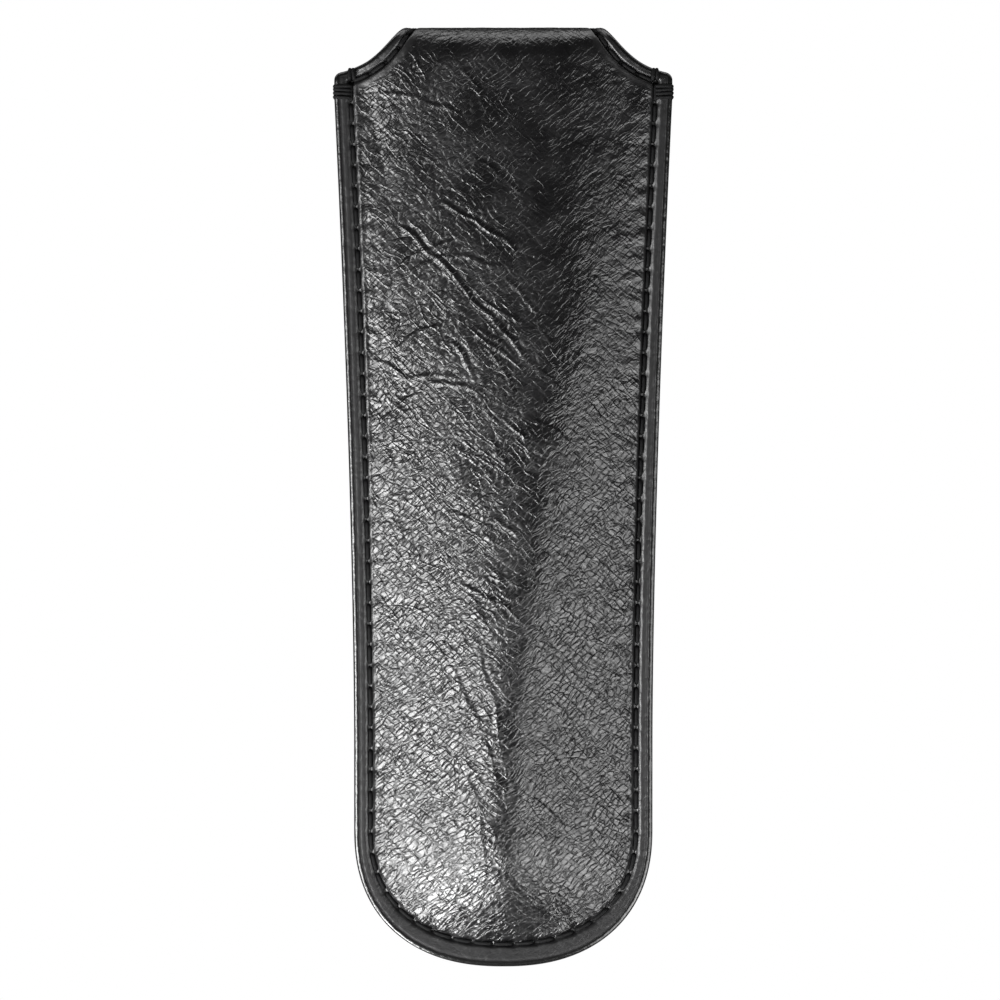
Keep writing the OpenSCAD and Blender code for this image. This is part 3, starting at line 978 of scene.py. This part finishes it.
def leather_material(name, base, rough):
    """Creased, waxed leather. The attribute zone holds the painted edge, the sewn margin and the pull."""
    m, tree, shader = material(name)
    flat = attribute(tree, "flat")
    across, up = axes(tree, flat)
    edge, calm = axes(tree, attribute(tree, "zone"))

    def blend(factor, a, b):
        return mixed(tree, "MIX", factor, a, b)

    def over(source, low, high, to_low, to_high):
        return ranged(tree, source, low, high, to_low, to_high)

    _, drift = noisy(tree, flat, 0.16, 1.0)
    _, sway = noisy(tree, flat, 0.75, 1.0)
    patches, _ = noisy(tree, flat, 0.13, 3.0)
    swell, _ = noisy(tree, flat, 0.8, 2.0)
    haze, _ = noisy(tree, flat, 5.0, 2.0)
    skin = mixed(tree, "LINEAR_LIGHT", 0.95, flat, drift)
    skin = mixed(tree, "LINEAR_LIGHT", 0.28, skin, sway)
    softer = over(up, 75.0, 130.0, 0.0, 0.4)

    # creases between the cells, each field with its angle, length, width and shift
    left = crease_field(tree, skin, 38, 3.0, 0.86, 3.0)
    right = crease_field(tree, skin, 45, 2.2, 0.9, 11.0)
    cross = crease_field(tree, skin, -38, 4.2, 1.5, 23.0)
    right = blend(over(up, 45.0, 115.0, 0.0, 0.5), right, WHITE)
    main = blend(over(across, -2.0, 9.0, 1.0, 0.0), right, left)
    creases = mixed(tree, "MULTIPLY", over(patches, 0.38, 0.62, 0.15, 0.85), main, cross)
    creases = blend(softer, creases, WHITE)
    creases = blend(over(calm, 0.0, 1.0, 0.0, 0.72), creases, WHITE)
    creases = blend(edge, creases, WHITE)

    # fine lines over them
    rising = wrinkle_field(tree, skin, 42, 3.6, 0.95, 37.0)
    falling = wrinkle_field(tree, skin, -42, 8.0, 1.6, 51.0)
    lines = blend(over(patches, 0.35, 0.65, 0.7, 0.3), rising, falling)
    lines = blend(over(calm, 0.0, 1.0, 0.0, 0.9), lines, BLACK)
    lines = blend(softer, lines, BLACK)

    heights = [(creases, 0.000075), (lines, 0.000075), (swell, 0.00007), (haze, 0.000002)]
    bump_chain(tree, shader, heights)

    dull = over(patches, 0.3, 0.7, rough - 0.04, rough + 0.05)
    dull = blend(calm, dull, grey(CALM_ROUGH))
    dull = blend(over(creases, 0.0, 0.8, 1.0, 0.0), dull, grey(CALM_ROUGH))
    dull = blend(edge, dull, grey(EDGE_ROUGH))
    tree.links.new(dull, shader.inputs["Roughness"])

    dark = tuple(0.7 * c for c in base)
    light = tuple(1.3 * c for c in base)
    tint = ramp(tree, patches, [(0.35, dark), (0.65, light)])
    tree.links.new(blend(edge, tint, EDGE_COLOUR), shader.inputs["Base Color"])
    return m


def lining_material(name, dark, light):
    """Brushed pigskin lining: short nap and small groups of pores."""
    m, tree, shader = material(name, specular=0.25)
    shader.inputs["Sheen Weight"].default_value = 0.1
    shader.inputs["Sheen Roughness"].default_value = 0.6
    flat = attribute(tree, "flat")
    pores = put(tree, "ShaderNodeTexVoronoi", Scale=1.1)
    tree.links.new(flat, pores.inputs["Vector"])
    dots = ramp(tree, pores.outputs["Distance"], [(0.06, 0.0), (0.16, 1.0)])
    nap, _ = noisy(tree, flat, 7.0, 4.0)
    bump_chain(tree, shader, [(nap, 0.00006), (dots, 0.00004)])
    toned(tree, shader, nap, (dark, light), (0.95, 0.8))
    return m


def thread_material(name, dark, light):
    """Bonded polyester thread: three strands under a thin wax."""
    m, tree, shader = material(name, specular=0.12)
    fibres, _ = noisy(tree, attribute(tree, "flat"), 6.0, 3.0)
    bump_chain(tree, shader, [(fibres, 0.00003)])
    toned(tree, shader, fibres, (dark, light), (0.62, 0.8))
    return m


def board_material(name, dark, light):
    """Pressed board, hidden inside the walls."""
    m, tree, shader = material(name)
    pulp, _ = noisy(tree, in_object(tree), 900.0, 4.0)
    bump_chain(tree, shader, [(pulp, 0.00005)])
    toned(tree, shader, pulp, (dark, light), (0.95, 0.85))
    return m


def metal_material(name, base, rough):
    """Plated metal with fine turning marks."""
    m, tree, shader = material(name)
    shader.inputs["Metallic"].default_value = 1.0
    marks, _ = noisy(tree, in_object(tree), 2500.0, 2.0)
    bump_chain(tree, shader, [(marks, 0.000005)])
    dark = tuple(0.9 * c for c in base)
    toned(tree, shader, marks, (dark, base), (rough - 0.05, rough + 0.05))
    return m


LEATHER = leather_material("black_leather", (0.0035, 0.0034, 0.0036), 0.27)
LINING = lining_material("black_lining", (0.016, 0.015, 0.015), (0.034, 0.032, 0.032))
THREAD = thread_material("black_thread", (0.001, 0.001, 0.0011), (0.0025, 0.0025, 0.0027))
BOARD = board_material("brown_board", (0.24, 0.185, 0.125), (0.32, 0.255, 0.175))
STEEL = metal_material("plated_steel", (0.55, 0.55, 0.56), 0.3)
MAGNET = metal_material("nickel_magnet", (0.62, 0.60, 0.57), 0.25)


# ---- pieces ----


def piece(obj, nodes, moves):
    """Hides the parts that a piece replaces, and hangs the piece on the body it rides on, or fixes it where
    it lies if it spans a fold between two bodies.
    """
    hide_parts(*nodes)
    if moves in TURNS:
        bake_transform(obj)
    else:
        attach(obj, moves)


BEND_LEAN = math.radians(20)


def turn(z, down):
    """Where a bend starts and stops turning, along a line that slopes as the bend does."""
    first = Vector((0, BEND_V + END_Y, z)) * MM
    along = Vector((0, math.cos(BEND_LEAN), down * math.sin(BEND_LEAN))) * MM
    return first - 0.3 * along, first + 8.6 * along


BACK_FOLD = ("pouch", "neck")
FLAP_FOLD = ("flap", "neck")
TURNS = {BACK_FOLD: turn(FOLD_Z, -1), FLAP_FOLD: turn(0.0, 1)}
UNDER = LEATHER_T + GLUE  # depth of what lies under the leather
NECK_STACK = UNDER + LINING_T


def in_pouch(x, v, top_v):
    """1 inside the stitching and below top_v, where there is a board, 0 in the sewn edge."""
    right, left = to_sides(x, v)
    inside = smooth((np.minimum(right, left) - ROOF_INSET) / 0.9)
    return inside * smooth((top_v - v) / 2)


def back_lining_depth(x, v):
    return UNDER + (BOARD_T + GLUE) * in_pouch(x, v, BACK_BOARD_V + 1.5)


def front_lining_depth(x, v):
    return UNDER + (BOARD_T + GLUE) * in_pouch(x, v, MOUTH_V - 7)


def flap_lining_depth(x, v):
    flat = smooth((v - FLAP_V - 1.0) / 3.8) * smooth((TIP_V - v) / 3)
    side = smooth((FLAP_HW - 1.6 - np.abs(x)) / 1.6)
    return UNDER + (FLAP_BOARD_T + GLUE) * flat * side


def pouch_edge(top_v, inset, inset_end):
    """Right edge of a layer of the pouch, from top_v to the tip of the round end."""
    v = np.linspace(top_v, END_DEPTH, 200)
    side = np.column_stack([side_hw(v) - inset, v])
    return respaced(np.vstack([side[:-1], round_end(inset, inset_end, END_STEPS)]), 0.4)


LINING_INSET = 0.12
BOARD_INSETS = (4.3, 5.2)  # at the sides and at the round end
BACK_BOARD_V = 148
FRONT_BOARD_V = FLAP_TIP_V - 10
MOUTH_MIDDLE_V = MOUTH_V - MOUTH_DIP
END_TURN_V = 14.0  # the leathers' rows end on the middle line here, the boards' a little higher
BOARD_TURN_V = 16.0
FLAP_TURN_V = TIP_V - 12
PLAIN = 0.9  # spacing of the points on what hardly shows
FEW = 12  # columns on the underside of a face with very many

back_skin = sheet_of(
    "back_skin", respaced(back_outline(), 0.27), (NECK_V, END_TURN_V), laid, LEATHER_T, 0.27, LEATHER,
    relief=back_relief, under=FEW
)
piece(back_skin, ["back_leather", "neck_leather"], BACK_FOLD)

back_lining_skin = sheet_of(
    "back_lining_skin", respaced(back_outline(LINING_INSET), PLAIN), (NECK_V, END_TURN_V),
    laid, LINING_T, PLAIN, LINING, depth=back_lining_depth
)
piece(back_lining_skin, ["back_lining", "neck_lining"], BACK_FOLD)

back_board = sheet_of(
    "back_board", pouch_edge(BACK_BOARD_V, *BOARD_INSETS), (BACK_BOARD_V, BOARD_TURN_V),
    laid, BOARD_T, PLAIN, BOARD, depth=UNDER
)
piece(back_board, ["back_stiffener"], "pouch")

front_skin = sheet_of(
    "front_skin", pouch_edge(MOUTH_V, 0, 0), (MOUTH_MIDDLE_V, END_TURN_V), fronted, LEATHER_T, 0.4, LEATHER,
    relief=front_relief, bow=True
)
piece(front_skin, ["front_leather"], "pouch")

front_lining_skin = sheet_of(
    "front_lining_skin", respaced(pouch_edge(MOUTH_V, LINING_INSET, LINING_INSET), PLAIN),
    (MOUTH_MIDDLE_V, END_TURN_V), fronted, LINING_T, PLAIN, LINING, depth=front_lining_depth, bow=True
)
piece(front_lining_skin, ["front_lining"], "pouch")

front_board = sheet_of(
    "front_board", pouch_edge(FRONT_BOARD_V, *BOARD_INSETS), (FRONT_BOARD_V, BOARD_TURN_V),
    fronted, BOARD_T, PLAIN, BOARD, depth=UNDER
)
piece(front_board, ["front_stiffener"], "pouch")

flap_skin = sheet_of(
    "flap_skin", respaced(flap_outline(), 0.35), (NECK_V, FLAP_TURN_V), laid, LEATHER_T, 0.35, LEATHER,
    relief=flap_relief, under=FEW
)
piece(flap_skin, ["flap_leather"], FLAP_FOLD)

flap_lining_skin = sheet_of(
    "flap_lining_skin", respaced(flap_outline(LINING_INSET), PLAIN), (NECK_V, FLAP_TURN_V),
    laid, LINING_T, PLAIN, LINING, depth=flap_lining_depth
)
piece(flap_lining_skin, ["flap_lining"], FLAP_FOLD)

for name, line, place, node in (
    ("stitches_seam_back", SEAM_LINE, laid, "seam_thread_back"),
    ("stitches_seam_front", SEAM_LINE, fronted, "seam_thread_front"),
    ("stitches_mouth", MOUTH_LINE, fronted, "mouth_thread"),
):
    piece(stitches(name, [line], place), [node], "pouch")
notch = stitches("stitches_notch", BACK_SCOOPS, laid, rows=((0.0, 1), (NECK_STACK, -1)))
piece(notch, ["notch_threads", "neck_threads"], BACK_FOLD)
flap_rim = stitches("stitches_flap", [FLAP_LINE], laid, rise=-0.05)
piece(flap_rim, ["flap_thread"], FLAP_FOLD)

for node, finish in (("flap_stiffener", BOARD), ("keeper_disc", STEEL), ("flap_magnet", MAGNET)):
    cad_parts[node].data.materials.clear()
    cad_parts[node].data.materials.append(finish)

TACK_V = 153.7
TACK_STEPS = 8  # points of a wrap on the face
FALL_STEPS = 5  # and over the edge
TOP_WRAP_V = (155.8, 157.4)
# Where each wrap starts and ends, across its own direction, from the middle of the tack
TOP_WRAPS = ((-0.45, -0.25), (0.4, 0.3))
SIDE_WRAPS = ((-1.1, -0.95), (-0.4, -0.25), (0.2, 0.4), (0.95, 0.9))
BEYOND = 0.15  # a wrap hangs this far past the edge


def over_edge(x, v, beyond, drop):
    """A thread's path over the face to its last place, then past the edge and down by drop."""
    lie = np.array([-0.5, 0.0] + [0.15] * (TACK_STEPS - 3) + [0.05])
    on_face = laid(x, v, lie) / MM
    last = on_face[-1] + np.array(beyond)
    falls = np.linspace(0.35, drop, FALL_STEPS)
    down = np.column_stack([np.full(FALL_STEPS, last[0]), np.full(FALL_STEPS, last[1]), last[2] - falls])
    return np.vstack([on_face, down])


def bartack(name, side, node):
    """Lock stitches at the shoulder: two wraps over its top edge and four over its side."""
    paths = []
    for start, end in TOP_WRAPS:
        x = side * (TACK_X + np.linspace(start, end, TACK_STEPS))
        paths.append(over_edge(x, np.linspace(*TOP_WRAP_V, TACK_STEPS), (0, BEYOND, 0), 1.5))
    for start, end in SIDE_WRAPS:
        x = np.linspace(TACK_X, side_hw(TACK_V) - 0.25, TACK_STEPS) * side
        paths.append(over_edge(x, TACK_V + np.linspace(start, end, TACK_STEPS), (side * BEYOND, 0, 0), 2.6))
    piece(tubes(name, paths, THREAD_R, THREAD), [node], "pouch")


bartack("bartack_wrap_left", -1, "bartack_left")
bartack("bartack_wrap_right", 1, "bartack_right")

# ---- studio ----


def area_light(name, place, aim, size, power):
    data = bpy.data.lights.new(name, "AREA")
    data.shape = "RECTANGLE"
    data.size, data.size_y = size
    data.energy = power
    obj = bpy.data.objects.new(name, data)
    bpy.context.collection.objects.link(obj)
    obj.location = place
    obj.rotation_mode = "QUATERNION"
    obj.rotation_quaternion = (Vector(aim) - Vector(place)).to_track_quat("-Z", "Y")
    obj.visible_camera = False


def seen_and_felt(tree, seen, felt, output):
    """One shader for what the camera sees straight, another for the light it gives."""
    path = tree.nodes.new("ShaderNodeLightPath")
    pick = tree.nodes.new("ShaderNodeMixShader")
    tree.links.new(path.outputs["Is Camera Ray"], pick.inputs["Fac"])
    tree.links.new(felt.outputs[0], pick.inputs[1])
    tree.links.new(seen.outputs[0], pick.inputs[2])
    tree.links.new(pick.outputs["Shader"], tree.nodes.new(output).inputs["Surface"])


FLOOR_HW = 3.0  # metres
FLOOR_GAP = 0.0006


def floor_and_world():
    mesh = bpy.data.meshes.new("floor")
    corners = [(x * FLOOR_HW, y * FLOOR_HW, 0) for x, y in ((-1, -1), (1, -1), (1, 1), (-1, 1))]
    mesh.from_pydata(corners, [], [(0, 1, 2, 3)])
    paper = bpy.data.materials.new("floor")
    paper.use_nodes = True
    tree = paper.node_tree
    tree.nodes.clear()
    glow = put(tree, "ShaderNodeEmission", Color=(*WHITE, 1), Strength=1.0)
    dim = put(tree, "ShaderNodeBsdfDiffuse", Color=(*grey(0.06), 1))
    seen_and_felt(tree, glow, dim, "ShaderNodeOutputMaterial")
    mesh.materials.append(paper)
    floor = bpy.data.objects.new("floor", mesh)
    floor.location = (0, 0, -FLOOR_GAP)
    bpy.context.collection.objects.link(floor)

    world = bpy.data.worlds.new("studio")
    bpy.context.scene.world = world
    world.use_nodes = True
    tree = world.node_tree
    tree.nodes.clear()
    white = put(tree, "ShaderNodeBackground", Color=(*WHITE, 1), Strength=1.0)
    room = put(tree, "ShaderNodeBackground", Color=(*WHITE, 1), Strength=0.04)
    seen_and_felt(tree, white, room, "ShaderNodeOutputWorld")


floor_and_world()

# Softboxes round the case: place and side in metres, power in watts
SOFTBOXES = {
    "key": ((-0.98, -0.17, 0.99), 0.55, 13.0),
    "left": ((-0.36, -0.16, 0.32), 0.2, 2.9),
    "left_end": ((-0.28, -0.38, 0.25), 0.2, 6.0),
    "right": ((0.36, -0.16, 0.32), 0.34, 2.2),
    "right_end": ((0.27, -0.3, 0.25), 0.27, 1.6),
}
CASE_MIDDLE = (0, -0.05, 0.015)

for name, (place, size, power) in SOFTBOXES.items():
    area_light(name, place, CASE_MIDDLE, (size, size), power)
area_light("head_strip", (0, 1.4, 0.14), (0, 0, 0.02), (1.0, 0.26), 3.0)
area_light("paper_glow", (0, 0.35, 0.0), (0, 0.35, 1), (0.5, 0.46), 2.6)

VIEW_MM = 175.5  # width of the picture at the height of the seam
LENS, SENSOR = 200.0, 36.0
camera_data = bpy.data.cameras.new("camera")
camera_data.lens = LENS
camera_data.sensor_width = SENSOR
camera_data.clip_start = 0.01
camera_data.clip_end = 20
camera = bpy.data.objects.new("camera", camera_data)
bpy.context.collection.objects.link(camera)
camera.location = (-0.58 * MM, -0.6 * MM, (VIEW_MM * LENS / SENSOR + SEAM_Z_MOUTH) * MM)
bpy.context.scene.camera = camera
bpy.context.scene.view_settings.view_transform = "Standard"
bpy.context.scene.view_settings.look = "None"
